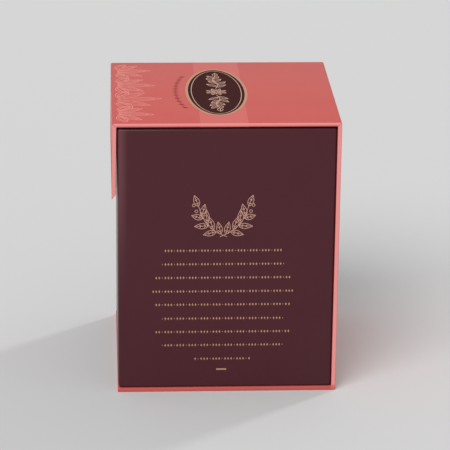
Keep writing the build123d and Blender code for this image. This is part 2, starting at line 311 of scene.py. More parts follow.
# %% Take a shape away
def apply(piece, kind, **settings):
    """Adds a modifier and applies it at once."""
    choose(piece)
    modifier = piece.modifiers.new(kind.lower(), kind)
    for name, value in settings.items():
        setattr(modifier, name, value)
    bpy.ops.object.modifier_apply(modifier=modifier.name)


def hollow(piece, outline, reach):
    """Takes the shape of an outline of (y, z) points, from x = -reach to x = reach, away."""
    cutter = draw_section("cutter", outline, -reach, reach)
    deselect()
    apply(piece, "BOOLEAN", operation="DIFFERENCE", solver="EXACT", object=cutter)
    bpy.data.objects.remove(cutter)


def block(y0, z0, y1, z1):
    """The outline of an upright rectangle."""
    return [(y0, z0), (y1, z0), (y1, z1), (y0, z1)]


print("board between its papers:", round(skin - 2 * paper, 2), "mm")

# %% Hollow the papers
board_side, window_side = side - paper, side - turn_in
under, over = paper, skin - paper  # faces of a board, from the outside of its panel
shallow, deep = 1.5, 3  # a window cuts from inside the board to past the panel
beyond = 4  # how far a cut goes past the end of a piece
spine_ends = (-beyond, case_height + beyond)
lid_ends = (lid_front - beyond, lid_rear + beyond)
hollow(base_paper, block(front + paper, under, lid_rear, over), board_side)
hollow(base_paper, block(front + turn_in, shallow, lid_rear, deep), window_side)
for near, far, reach in ((under, over, board_side), (shallow, deep, window_side)):
    hollow(spine_paper, block(rear - far, spine_ends[0], rear - near, spine_ends[1]), reach)
    hollow(
        lid_paper, block(lid_ends[0], case_height - far, lid_ends[1], case_height - near), reach
    )
# Corners in the flap's own directions, inwards and upwards. Both cuts are open at its upper end.
flap_board = [(-0.3, 2), (1.7, 2), (1.7, -40.7), (-0.3, -43.308)]
flap_window = [(1, 2), (2.5, 2), (2.5, flap_low + turn_in), (1, flap_low + turn_in)]
for outline, reach in ((flap_board, board_side), (flap_window, window_side)):
    hollow(flap_paper, [on_flap(*corner) for corner in outline], reach)
for piece in case_papers:
    corners = [1000 * (piece.matrix_world @ Vector(corner)) for corner in piece.bound_box]
    print(piece.name, [round(v, 2) for v in corners[0]], [round(v, 2) for v in corners[6]])

# %% [markdown]
# A fold is a joint between two boards. On its inner side the boards' corners meet, and when the box
# opens they part and show a groove down to the outer paper. A fold that is left solid would tear or
# bulge there. So each gets a narrow slit from its inner corner almost to its outer one.

# %% Slits in the folds
# Each joint is given by the inner corners of its two boards.
rear_joint = [(rear - skin, case_height - setback), (lid_rear, case_height - skin)]
front_joint = [(lid_front, case_height - skin), on_flap(flap_inner, flap_top)]
slit_depth, half_slit = 2.65, 0.09


def in_joint(joint, depth, aside):
    """A point (y, z) in a joint, from its inner corner and towards its second board."""
    first, second = (Vector(corner) for corner in joint)
    way = (second - first).normalized()
    point = (first + second) / 2 + depth * Vector((way.y, -way.x)) + aside * way
    return point.x, point.y


def pocket(start, end, half):
    """Corners (depth, aside) of a straight pocket, from a depth to a depth."""
    return [(start, -half), (end, -half), (end, half), (start, half)]


for piece, joint in ((rear_fold_paper, rear_joint), (front_fold_paper, front_joint)):
    slit = [in_joint(joint, *corner) for corner in pocket(-0.4, slit_depth, half_slit)]
    hollow(piece, slit, side + 1)
    print(piece.name, len(piece.data.polygons), "faces")

# %% [markdown]
# The lining is one dark sheet on the real box, from the flap over the lid and down inside the
# spine, and it is pressed into both joints. The CAD parts of it are flat and stay. Only its two
# hinge stretches have to bend, so they are drawn again as thin strips that go down one side of the
# slit and up the other.

# %% Hinge stretches of the lining
lining_side = side - 3


def lining_stretch(name, joint, first_end, second_end):
    """A strip of lining from one board into the joint and out to the other board."""
    # In the slit the strip is 0.03 mm thin and stays 0.005 mm clear of the walls.
    outer, inner = pocket(-0.005, 2.62, -0.085), pocket(-0.1, 2.58, 0.055)
    outline = (
        [second_end[0], joint[1]]
        + [in_joint(joint, *corner) for corner in outer]
        + [joint[0], *first_end]
        + [in_joint(joint, *corner) for corner in inner]
        + [second_end[1]]
    )
    return draw_section(name, outline, -lining_side, lining_side)


overlap = 0.3  # how far the strip runs on to each board
lid_face = case_height - skin
lining_face = case_height - setback  # of the lining that lies on the lid's lower face
rear_hinge_lining = lining_stretch(
    "rear_hinge_lining",
    rear_joint,
    [(rear - skin, lining_face - overlap), (rear - setback, lining_face - overlap)],
    [(lid_rear - overlap, lid_face), (lid_rear - overlap, lining_face)],
)
bpy.ops.object.mode_set(mode="OBJECT")
front_hinge_lining = lining_stretch(
    "front_hinge_lining",
    front_joint,
    [(lid_front + overlap, lid_face), (lid_front + overlap, lining_face)],
    [on_flap(flap_inner + depth, flap_top - overlap) for depth in (0, paper)],
)
bpy.ops.object.mode_set(mode="OBJECT")
for piece in (rear_hinge_lining, front_hinge_lining):
    print(piece.name, "is", round(piece.dimensions.x * 1000, 1), "mm wide")

# %% [markdown]
# The tray is a box of greyboard in one dark sheet. Its paper goes round the outside, over the rim
# and 15 mm down inside. It starts as a cube of the tray's size. The top is inset by a wall and
# pushed down, the floor is opened, and the outer edges get the soft rounding that the photograph
# shows as a bright line down the corner.

# %% Paper of the tray
tray_low, tray_high = (1000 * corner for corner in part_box("tray_wrap"))
deselect()
bpy.ops.mesh.primitive_cube_add(
    size=1, location=(tray_low + tray_high) / 2000, scale=(tray_high - tray_low) / 1000
)
tray_paper = bpy.context.active_object
tray_paper.name = tray_paper.data.name = "tray_paper"
bpy.ops.object.transform_apply(location=True, rotation=True, scale=True)
bpy.ops.object.mode_set(mode="EDIT")
wall = board + 2 * paper
pick(tray_paper, "faces", lambda face: face.normal.z > 0.9)
bpy.ops.mesh.inset(thickness=wall / 1000)
bpy.ops.mesh.extrude_region_move(TRANSFORM_OT_translate={"value": mm(0, 0, -turn_in)})
bpy.ops.mesh.delete(type="FACE")
pick(tray_paper, "faces", lambda face: face.normal.z < -0.9)
bpy.ops.mesh.inset(thickness=(wall - paper) / 1000)
bpy.ops.mesh.delete(type="FACE")
print("tray", [round(v, 2) for v in tray_high - tray_low], "mm, walls", wall, "mm with board")

# %% Round the edges of the tray
tray_round, rim_round = 1.8, 0.3


def is_outside_tray(edge):
    """Whether an edge is one of the twelve outer ones."""
    inner = [
        tray_low.x + 0.1 < v.co.x * 1000 < tray_high.x - 0.1
        or tray_low.y + 0.1 < v.co.y * 1000 < tray_high.y - 0.1
        for v in edge.verts
    ]
    return not any(inner)


def is_inner_rim(edge):
    """Whether an edge is where the paper turns down into the tray."""
    return not is_outside_tray(edge) and all(v.co.z * 1000 > tray_high.z - 0.01 for v in edge.verts)


pick(tray_paper, "edges", is_inner_rim)
mesh = bmesh.from_edit_mesh(tray_paper.data)
for edge in mesh.edges:  # leave out the four short edges that cross the rim at its corners
    if edge.select and len({round(v.co.x, 6) for v in edge.verts}) > 1:
        if len({round(v.co.y, 6) for v in edge.verts}) > 1:
            edge.select_set(False)
bmesh.update_edit_mesh(tray_paper.data)
bpy.ops.mesh.bevel(offset=rim_round / 1000, segments=2, affect="EDGES")
round_edges(tray_paper, is_outside_tray, tray_round, segments=5)
bpy.ops.object.mode_set(mode="OBJECT")
apply(tray_paper, "SOLIDIFY", thickness=paper / 1000, offset=-1, use_even_offset=True)
print("tray paper:", len(tray_paper.data.polygons), "faces")

# %% [markdown]
# Print and foil lie on the paper with almost no height. Lines drawn as curves and given a thin
# round section keep an even width however they bend, so the drawings here are made that way,
# flattened, and laid on their panels. They are plain leaf sprays of the kind that any
# confectioner's box may carry. Real foil and varnish are a few thousandths of a millimetre thick.
# These lines stand higher, because two faces so close together would flicker.

# %% Draw with lines
foil_height, varnish_height = 0.03, 0.02


def draw_lines(name, strokes, width, height):
    """Draws strokes, lists of (u, v) points, as raised lines of a width on a flat sheet."""
    deselect()
    bpy.ops.curve.primitive_bezier_curve_add()
    lines = bpy.context.active_object
    lines.name = lines.data.name = name
    lines.data.splines.clear()
    for points in strokes:
        spline = lines.data.splines.new("BEZIER")
        if points[0] == points[-1]:
            points, spline.use_cyclic_u = points[:-1], True
        spline.bezier_points.add(len(points) - 1)
        for knot, (u, v) in zip(spline.bezier_points, points):
            knot.co = mm(u, v, 0)
            knot.handle_left_type = knot.handle_right_type = "AUTO"
    lines.data.resolution_u = 5
    lines.data.bevel_depth = width / 2000
    lines.data.bevel_resolution = 1
    lines.data.use_fill_caps = True
    bpy.ops.object.convert(target="MESH")
    lines.scale = (1, 1, 2 * height / width)
    bpy.ops.object.transform_apply(location=True, rotation=True, scale=True)
    bpy.ops.object.mode_set(mode="EDIT")
    bpy.ops.mesh.select_all(action="SELECT")
    bpy.ops.mesh.remove_doubles(threshold=1e-6)
    bpy.ops.mesh.normals_make_consistent(inside=False)
    bpy.ops.object.mode_set(mode="OBJECT")
    return lines


def lay_on(piece, corner, across, upwards):
    """Lays a flat drawing on a panel, given its origin and the directions of u and v."""
    across, upwards = Vector(across), Vector(upwards)
    piece.matrix_world = Matrix.Translation(Vector(corner) / 1000) @ Matrix(
        (across, upwards, across.cross(upwards))
    ).transposed().to_4x4()
    choose(piece)
    bpy.ops.object.transform_apply(location=True, rotation=True, scale=True)


print("foil stands", foil_height, "mm high and varnish", varnish_height, "mm")

# %% A leaf
def turned(points, angle, place):
    """Points turned by an angle in degrees and moved to a place."""
    c, s = cos(radians(angle)), sin(radians(angle))
    return [(place[0] + c * u - s * v, place[1] + s * u + c * v) for u, v in points]


def leaf(place, angle, length, width, veins):
    """A pointed leaf from its stalk at a place: two sides, a midrib and pairs of veins."""
    half = width / 2
    edge_line = ((0, 0), (0.22, 0.8), (0.5, 1), (0.8, 0.5), (1, 0))
    upper = [(u * length, v * half) for u, v in edge_line]
    midrib = [(0, 0), (0.45 * length, 0.04 * half), (0.9 * length, 0)]
    strokes = [upper, [(u, -v) for u, v in upper], midrib]
    for number in range(veins):
        start = length * (0.2 + 0.6 * number / veins)
        reach = 0.62 * half * (1 - 0.35 * number / veins)
        for way in (1, -1):
            strokes.append([(start, 0), (start + 0.13 * length, way * reach)])
    return [turned(points, angle, place) for points in strokes]


print("strokes in one leaf:", len(leaf((0, 0), 0, 10, 4, 3)))

# %% [markdown]
# The lid carries an oval medallion: dark paper label in a tan foil rim. It is a circle, scaled to
# an oval, inset for the rim and pulled up by the thickness of the foil. Inside it stand a thin
# second oval and a rosette between two leaf sprays, which are traditional ornaments.

# %% Medallion on the lid
lid_top = case_height
medallion_place = (0.5, -4.7, lid_top)
oval_across, oval_along = 45.2, 17.6
rim_width, rim_height, label_height = 1.5, 0.05, 0.02
deselect()
bpy.ops.mesh.primitive_circle_add(vertices=128, radius=1, fill_type="NGON")
medallion = bpy.context.active_object
medallion.name = medallion.data.name = "lid_medallion"
medallion.scale = mm(oval_across, oval_along, 1)
medallion.location = mm(*medallion_place)
bpy.ops.object.transform_apply(location=True, rotation=True, scale=True)
bpy.ops.object.mode_set(mode="EDIT")
bpy.ops.mesh.select_all(action="SELECT")
bpy.ops.mesh.inset(thickness=rim_width / 1000)
bpy.ops.mesh.separate(type="SELECTED")
bpy.ops.object.mode_set(mode="OBJECT")
medallion_rim, medallion = medallion, next(
    piece for piece in bpy.context.selected_objects if piece is not medallion
)
medallion_rim.name = "lid_medallion_rim"
medallion.name = "lid_medallion"
apply(medallion, "SOLIDIFY", thickness=label_height / 1000, offset=1)
apply(medallion_rim, "SOLIDIFY", thickness=rim_height / 1000, offset=1)
print("medallion", [round(v * 1000, 2) for v in medallion_rim.dimensions], "mm")

# %% Ornament inside the medallion
def oval(across, along, knots=24):
    """A closed line round an oval."""
    turns = [2 * pi * k / knots for k in range(knots)]
    ring = [(across * cos(turn), along * sin(turn)) for turn in turns]
    return [*ring, ring[0]]


def spray(way):
    """One half of the medallion's ornament: a stem with pairs of leaves, to the left or right."""
    stem = [(6.5, 0), (14, 1.4), (22, -1.0), (31, 0.6)]
    strokes = [stem]
    for u, v, lean, length in (
        (9, 0.6, 48, 7.5),
        (14.5, 1.3, 42, 7.5),
        (20, -0.4, 38, 7),
        (25.5, -0.6, 34, 6),
    ):
        strokes += leaf((u, v), lean, length, 2.9, 0)
        strokes += leaf((u + 1.5, v), -lean, length, 2.9, 0)
    strokes += leaf((31, 0.6), 2, 6.5, 3, 0)
    return [[(way * u, v) for u, v in points] for points in strokes]


rosette = []
for petal in range(8):
    lean = 45 * petal + 22.5
    start = (1.6 * cos(radians(lean)), 1.6 * sin(radians(lean)))
    rosette += leaf(start, lean, 4.6, 2.4, 0)
medallion_ornament = draw_lines(
    "lid_medallion_ornament",
    [oval(41.5, 14.2), *rosette, oval(1.1, 1.1, 8), *spray(1), *spray(-1)],
    width=0.42,
    height=rim_height,
)
label_face = (*medallion_place[:2], lid_top + label_height)
lay_on(medallion_ornament, label_face, (1, 0, 0), (0, 1, 0))
print("ornament:", len(medallion_ornament.data.polygons), "faces")

# %% [markdown]
# On the pink paper itself, tone on tone, tufts of long ribbed leaves grow from the fold between lid
# and flap, on both panels, and a bow of small dots in a deeper pink runs along the medallion. Each
# leaf is two sides and two ribs, which run along it as on a plantain leaf.

# %% Tufts of leaves on lid and flap
def ribbed_leaf(place, angle, length, width):
    """A long leaf from its stalk at a place: two bowed sides and two ribs along it."""
    strokes = []
    for share, reach in ((1, 1), (0.4, 0.84), (-0.4, 0.84), (-1, 1)):
        half = share * width / 2
        strokes.append(
            [(0, 0.4 * half), (0.3 * length, 0.95 * half), (0.62 * length, 0.9 * half)]
            + [(reach * length, 2.5 * half * (1 - reach))]
        )
    return [turned(points, angle, place) for points in strokes]


def tuft(place, reach, lean):
    """Five ribbed leaves that spread from one place, the middle one reaching farthest."""
    strokes = []
    for turn, share in ((-58, 0.55), (-29, 0.8), (0, 1), (30, 0.75), (57, 0.5)):
        root = (place[0] - 0.1 * turn, place[1] + 0.6)
        strokes += ribbed_leaf(root, 90 + lean + turn, reach * share, reach * 0.27)
    return strokes


def tuft_row(tufts):
    """Tufts side by side across the panel, each with its place, reach and lean."""
    return [stroke for u, reach, lean in tufts for stroke in tuft((u, 0.5), reach, lean)]


tuft_line = 0.5
lid_row = tuft_row([(-41, 20, 6), (-14, 22, -4), (15, 25, 5), (41, 20, -7)])
lid_tufts = draw_lines("lid_leaf_tufts", lid_row, tuft_line, varnish_height)
lay_on(lid_tufts, (0, lid_front, lid_top), (1, 0, 0), (0, 1, 0))
flap_row = tuft_row([(-41, 26, 5), (-14, 32, -3), (15, 30, 4), (41, 24, -5)])
flap_tufts = draw_lines("flap_leaf_tufts", flap_row, tuft_line, varnish_height)
lay_on(flap_tufts, (0, *on_flap(flap_outer, flap_top)), (-1, 0, 0), tuple(-flap_up))
print("tufts:", len(lid_tufts.data.polygons) + len(flap_tufts.data.polygons), "faces")

# %% One dot
def print_dot(across, along, height):
    """A small printed lozenge: a circle of four points, pulled up by its thickness."""
    deselect()
    bpy.ops.mesh.primitive_circle_add(vertices=4, radius=0.5, fill_type="NGON")
    piece = bpy.context.active_object
    piece.scale = mm(across, along, 1)
    bpy.ops.object.transform_apply(location=True, rotation=True, scale=True)
    apply(piece, "SOLIDIFY", thickness=height / 1000, offset=1)
    return piece


dot = print_dot(2.5, 4.0, varnish_height)
print("a dot of the bow is", [round(v * 1000, 2) for v in dot.dimensions], "mm")

# %% A bow of dots beside the medallion
def copies_of(piece, places):
    """Copies of a piece at places of (x, y, z, size), each with its own mesh."""
    copies = []
    for x, y, z, size in places:
        twin = piece.copy()
        twin.data = piece.data.copy()
        twin.data.transform(Matrix.Translation(mm(x, y, z)) @ Matrix.Scale(size, 4))
        bpy.context.collection.objects.link(twin)
        copies.append(twin)
    return copies


def joined(pieces, name):
    """Pieces made into one, with a name."""
    choose(pieces[0])
    for piece in pieces[1:]:
        piece.select_set(True)
    bpy.ops.object.join()
    pieces[0].name = pieces[0].data.name = name
    return pieces[0]


bow_gap, bow_pitch = 5.6, 3  # from the medallion, and from dot to dot
bow = []
for step in range(-10, 11):
    across = bow_pitch * step
    along = oval_along * (1 - (across / oval_across) ** 2) ** 0.5 + bow_gap
    size = 1 - 0.4 * (step % 2)
    bow.append((medallion_place[0] + across, medallion_place[1] - along, lid_top, size))
medallion_bow = joined(copies_of(dot, bow), "lid_medallion_bow")
bpy.data.objects.remove(dot)
print("dots in the bow:", len(bow))

# %% [markdown]
# Each side of the tray has a gold drawing and a block of fine gold rows below it, closed by a short
# dash. The drawing is two bowed sprigs with berries. The rows are borders of small lozenges, each
# modelled once and copied along its row.

# %% Sprigs on the sides
def sprig(way):
    """A bowed stem with leaves on both sides and two berries."""
    stem = [(-2, -12.5), (4, -9.5), (10.5, -3), (14, 5.5)]
    strokes = [stem]
    for u, v, lean, length in (
        (1.5, -11, 78, 7.5),
        (5.5, -8.4, 70, 8.5),
        (9.3, -4.8, 88, 8.5),
        (12.2, -0.4, 104, 7.5),
        (4.0, -9.5, -14, 7.5),
        (8.3, -6.0, -2, 8.0),
        (11.6, -1.6, 16, 6.5),
        (14, 5.5, 70, 7),
    ):
        strokes += leaf((u, v), lean, length, 3.1, 2)
    berry = oval(0.8, 0.8, 8)
    strokes += [turned(berry, 0, place) for place in ((16.6, 6.2), (15.2, 2.6))]
    return [[(way * u, v) for u, v in points] for points in strokes]


tray_side, tray_middle = 59.6, -2.8
drawing_height, drawing_line = 106, 0.28
side_panels = {
    "right": ((tray_side, tray_middle, 0), (0, 1, 0)),
    "left": ((-tray_side, tray_middle, 0), (0, -1, 0)),
}
gold_lines = []
for name, (corner, across) in side_panels.items():
    sprigs = [*sprig(1), *sprig(-1)]
    drawing = draw_lines(f"tray_{name}_sprigs", sprigs, drawing_line, foil_height)
    lay_on(drawing, (*corner[:2], drawing_height), across, (0, 0, 1))
    gold_lines.append(drawing)
    print(drawing.name, len(drawing.data.polygons), "faces")

# %% Rows of lozenges on the sides
row_heights = (85.4, 77.3, 69.2, 61.0, 53.0, 44.6, 36.5, 28.4, 20.0)
row_reaches = (33, 35.5, 39, 40, 38, 34.5, 37.5, 34, 16.5)  # half the length of each row
lozenge_pitch = 1.7
dash_place, dash_size = mm(-0.5, 13.5, 0), mm(5.7, 1.0, 1)


def row_block(name):
    """All rows of one side as one piece, with the dash below them."""
    lozenge = print_dot(1.0, 1.75, foil_height)
    places = []
    for height, reach in zip(row_heights, row_reaches):
        count = int(reach / lozenge_pitch)
        for step in range(-count, count + 1):
            places.append((step * lozenge_pitch, height, 0, 0.5 if step % 4 == 0 else 1.0))
    rows = copies_of(lozenge, places)
    bpy.data.objects.remove(lozenge)
    deselect()
    bpy.ops.mesh.primitive_plane_add(size=1, location=dash_place)
    dash = bpy.context.active_object
    dash.scale = dash_size
    bpy.ops.object.transform_apply(location=True, rotation=True, scale=True)
    apply(dash, "SOLIDIFY", thickness=foil_height / 1000, offset=1)
    return joined([dash, *rows], name)


for name, (corner, across) in side_panels.items():
    rows = row_block(f"tray_{name}_rows")
    lay_on(rows, corner, across, (0, 0, 1))
    gold_lines.append(rows)
    print(rows.name, len(rows.data.polygons), "faces")

# %% [markdown]
# Materials. Colours are written as on a printer's sheet, in sRGB hex, and turned linear by one
# function. One more function adds a node with its settings and links.

# %% Colour and node helpers
def linear(code):
    """An sRGB hex colour as linear red, green, blue and alpha."""
    values = [int(code[i : i + 2], 16) / 255 for i in (1, 3, 5)]
    return [v / 12.92 if v <= 0.04045 else ((v + 0.055) / 1.055) ** 2.4 for v in values] + [1]


def add_node(tree, kind, settings=None, links=None):
    """Adds a node. Settings are its options or socket values, links feed its sockets."""
    made = tree.nodes.new(kind)
    for name, value in (settings or {}).items():
        if isinstance(name, int) or name in made.inputs:
            made.inputs[name].default_value = value
        else:
            setattr(made, name, value)
    for name, source in (links or {}).items():
        tree.links.new(source, made.inputs[name])
    return made


def new_material(name, roughness, metallic=0.0):
    """A material with its shader, and the places of the surface in metres."""
    made = bpy.data.materials.new(name)
    made.use_nodes = True
    shader = made.node_tree.nodes["Principled BSDF"]
    shader.inputs["Roughness"].default_value = roughness
    shader.inputs["Metallic"].default_value = metallic
    place = add_node(made.node_tree, "ShaderNodeTexCoord").outputs["Object"]
    return made, made.node_tree, shader, place


print("the case's pink is", [round(v, 3) for v in linear("#C75D59")])

# %% [markdown]
# The case is wrapped in coated art paper, offset printed in one pink and laminated with a satin
# film. That gives the eye an even colour, a broad soft gloss and the faint grain of paper under
# film.
# The case's outer edges are painted paler, a painted highlight where the rounded edges catch the
# light, and the lid's lower edge is left darker, as painted shade. One stripe across the lid is
# printed paler. The brown paper is painted a little paler at the upper end of the tray's two front
# corners, a painted highlight. Each of these places is worked out from the box's own coordinates,
# in metres, as a share from 0 to 1, and then its colour is laid over the others.

# %% Where the lid's stripe is
lid_stripe = (-0.0028, 0.0132)  # middle and half the width
lid_only = 0.15  # what is higher belongs to the lid


def on_stripe(tree, parts):
    """1 on the lid's stripe and 0 elsewhere."""
    inside = add_node(
        tree,
        "ShaderNodeMath",
        {"operation": "COMPARE", 1: lid_stripe[0], 2: lid_stripe[1]},
        {0: parts.outputs["Y"]},
    )
    top = add_node(
        tree, "ShaderNodeMath", {"operation": "GREATER_THAN", 1: lid_only}, {0: parts.outputs["Z"]}
    )
    return add_node(
        tree,
        "ShaderNodeMath",
        {"operation": "MULTIPLY"},
        {0: inside.outputs[0], 1: top.outputs[0]},
    ).outputs[0]


print("the stripe is", round(2000 * lid_stripe[1], 1), "mm wide")

# %% Where the tray's front corners get a painted highlight
tray_corner = (tray_low.y - tray_high.x) / 1000  # y less |x| along the tray's front corners
corner_highlight_width = (0.001, 0.0065)  # from the corner, where the painted highlight starts to fade and where it ends
corner_highlight_height = (0.05, 0.14)  # where the painted highlight starts and where it is full


def on_corner_highlight(tree, parts, sideways):
    """How much painted highlight the paper gets: most at the upper end of the front corners."""
    along = add_node(
        tree,
        "ShaderNodeMath",
        {"operation": "SUBTRACT"},
        {0: parts.outputs["Y"], 1: sideways.outputs[0]},
    )
    near_corner = add_node(
        tree,
        "ShaderNodeMapRange",
        {
            "interpolation_type": "SMOOTHSTEP",
            "From Min": tray_corner + corner_highlight_width[0],
            "From Max": tray_corner + corner_highlight_width[1],
            "To Min": 1.0,
            "To Max": 0.0,
        },
        {"Value": along.outputs[0]},
    )
    high = add_node(
        tree,
        "ShaderNodeMapRange",
        {
            "interpolation_type": "SMOOTHSTEP",
            "From Min": corner_highlight_height[0],
            "From Max": corner_highlight_height[1],
        },
        {"Value": parts.outputs["Z"]},
    )
    return add_node(
        tree,
        "ShaderNodeMath",
        {"operation": "MULTIPLY"},
        {0: near_corner.outputs[0], 1: high.outputs[0]},
    ).outputs[0]


print("the handled corners are", round(1000 * corner_highlight_width[1], 1), "mm wide")

# %% Where the outer edges get a painted highlight, and the lid's lower edge painted shade
edge_highlight_side = (0.0598, 0.06)  # from the rounding of an edge to the side of the case
foot = (0.002, 0.004)  # the painted highlight is faint on the lower edge up to here, and full from here
lid_between_folds = (-0.0012, 0.0607)  # middle and half the depth
lid_edge = (0.1581, 0.1588)  # the lid's lower edge gets no painted highlight up to here and stays darker as painted shade


def on_edge_highlight(tree, parts, sideways, has_lid):
    """How much painted highlight an edge gets: less at the foot, none on the lid's lower edge
    (painted shade).
    """
    side_highlight = add_node(
        tree,
        "ShaderNodeMapRange",
        {"From Min": edge_highlight_side[0], "From Max": edge_highlight_side[1], "To Max": 0.8},
        {"Value": sideways.outputs[0]},
    )
    low = add_node(
        tree,
        "ShaderNodeMapRange",
        {"From Min": foot[0], "From Max": foot[1], "To Min": 0.2},
        {"Value": parts.outputs["Z"]},
    )
    edge_highlight = add_node(
        tree,
        "ShaderNodeMath",
        {"operation": "MULTIPLY"},
        {0: side_highlight.outputs[0], 1: low.outputs[0]},
    )
    if not has_lid:
        return edge_highlight.outputs[0]
    # on the lid's lower edge the highlight falls to nothing, leaving a painted shade
    between = add_node(
        tree,
        "ShaderNodeMath",
        {"operation": "COMPARE", 1: lid_between_folds[0], 2: lid_between_folds[1]},
        {0: parts.outputs["Y"]},
    )
    outer = add_node(
        tree,
        "ShaderNodeMapRange",
        {"From Min": lid_edge[0], "From Max": lid_edge[1]},
        {"Value": parts.outputs["Z"]},
    )
    open_edge = add_node(
        tree,
        "ShaderNodeMix",
        {"data_type": "FLOAT", 2: 1.0},
        {"Factor": between.outputs[0], 3: outer.outputs[0]},
    )
    return add_node(
        tree,
        "ShaderNodeMath",
        {"operation": "MULTIPLY"},
        {0: edge_highlight.outputs[0], 1: open_edge.outputs[0]},
    ).outputs[0]


# the case's edges are painted paler, as painted highlight, from this x outwards
print("edges are highlighted from x =", round(1000 * edge_highlight_side[0], 1), "mm outwards")

# %% Coated paper
cloud_scale = 35  # clouds of the print run, about 29 mm across
grain_scale = 1400  # grain of 0.7 mm, coarser than real paper's, so that it shows


def printed_paper(name, dark, light, edge, roughness, sheen, stripe=None, highlit=None):
    """Coated paper: two tones in clouds, a stripe, painted highlights on corners and edges, painted
    shade, grain.
    """
    made, tree, shader, place = new_material(name, roughness)
    shader.inputs["Specular IOR Level"].default_value = sheen
    parts = add_node(tree, "ShaderNodeSeparateXYZ", links={"Vector": place})
    sideways = add_node(
        tree, "ShaderNodeMath", {"operation": "ABSOLUTE"}, {0: parts.outputs["X"]}
    )
    clouds = add_node(
        tree,
        "ShaderNodeTexNoise",
        {"Scale": cloud_scale, "Detail": 3, "Roughness": 0.5},
        {"Vector": place},
    )
    tone = add_node(
        tree,
        "ShaderNodeMix",
        {"data_type": "RGBA", 6: linear(dark), 7: linear(light)},
        {"Factor": clouds.outputs["Fac"]},
    )
    layers = []  # colours that lie over the tone, each with where it shows
    if stripe:
        layers.append((stripe, on_stripe(tree, parts)))
    # a painted highlight at the upper end of the tray's front corners
    if highlit:
        layers.append((highlit, on_corner_highlight(tree, parts, sideways)))
    # the edge colour is a painted highlight on the outer edges, with painted shade on the lid's
    # lower edge
    layers.append((edge, on_edge_highlight(tree, parts, sideways, has_lid=bool(stripe))))
    for colour, share in layers:
        tone = add_node(
            tree,
            "ShaderNodeMix",
            {"data_type": "RGBA", 7: linear(colour)},
            {"Factor": share, 6: tone.outputs[2]},
        )
    tree.links.new(tone.outputs[2], shader.inputs["Base Color"])
    grain = add_node(
        tree, "ShaderNodeTexNoise", {"Scale": grain_scale, "Detail": 2}, {"Vector": place}
    )
    bump = add_node(
        tree,
        "ShaderNodeBump",
        {"Strength": 0.12, "Distance": 0.00004},
        {"Height": grain.outputs["Fac"]},
    )
    tree.links.new(bump.outputs[0], shader.inputs["Normal"])
    return made


print("clouds of", round(1000 / cloud_scale), "mm, grain of", round(1000 / grain_scale, 1), "mm")

# %% The four papers
# The brown's colour for its front corners, #683F44, is a painted highlight.
# The pink's edge colour, #FCA4A1, is a painted highlight.
pink_paper = printed_paper(
    "satin_laminated_art_paper_pink", "#C75D59", "#CE645E", "#FCA4A1", 0.42, 0.04, stripe="#D36F69"
)
brown_paper = printed_paper(
    "satin_laminated_art_paper_brown", "#4C2129", "#50242B", "#50242B", 0.3, 0.2, highlit="#683F44"
)
lining_paper = printed_paper("uncoated_lining_paper", "#47282B", "#4C2B2E", "#4C2B2E", 0.75, 0.12)
label_paper = printed_paper("label_paper_dark", "#432827", "#472A29", "#472A29", 0.7, 0.0)
papers = (pink_paper, brown_paper, lining_paper, label_paper)
print("papers:", [paper_kind.name for paper_kind in papers])

# %% [markdown]
# Foil is hot stamped: a film of aluminium on the paper, tinted gold or tan. It is metal, so its
# colour is in its reflection, and the paper's grain below makes it a little uneven. The tan and the
# rose foil have a matt lacquer that hides part of the metal. The leaves and dots on the pink paper
# are screen printed in tinted varnish, with the same gloss but no metal.

# %% Foil and tinted varnish
foil_scale = 900  # unevenness of 1.1 mm, coarse enough to show


def stamped_foil(name, colour, roughness, metallic=1.0):
    """Foil, or varnish without metal, with an uneven gloss from the paper under it."""
    made, tree, shader, place = new_material(name, roughness, metallic)
    shader.inputs["Base Color"].default_value = linear(colour)
    shader.inputs["Specular IOR Level"].default_value = 0.5 if metallic else 0.05
    uneven = add_node(
        tree, "ShaderNodeTexNoise", {"Scale": foil_scale, "Detail": 2}, {"Vector": place}
    )
    gloss = add_node(
        tree,
        "ShaderNodeMapRange",
        {"To Min": roughness - 0.08, "To Max": roughness + 0.12},
        {"Value": uneven.outputs["Fac"]},
    )
    tree.links.new(gloss.outputs[0], shader.inputs["Roughness"])
    return made


gold_foil = stamped_foil("hot_stamped_gold_foil", "#D6A78A", 0.38)
tan_foil = stamped_foil("hot_stamped_tan_foil", "#CF9A79", 0.45, 0.6)
rose_foil = stamped_foil("hot_stamped_rose_foil", "#E2B29D", 0.42, 0.6)
pale_varnish = stamped_foil("pale_pink_screen_print", "#E6938B", 0.5, 0.0)
deep_varnish = stamped_foil("deep_pink_screen_print", "#8E3533", 0.5, 0.0)
foils = (gold_foil, tan_foil, rose_foil, pale_varnish, deep_varnish)
print("foils and varnishes:", [foil.name for foil in foils])

# %% [markdown]
# Inside are greyboard, a dark card for the dividers, kraft paper stays, nickel plated magnets and
# zinc plated steel discs. Board and card show fibres: short, pale and dark flecks about a
# millimetre long that lie flat. The discs are only a little uneven in their gloss.

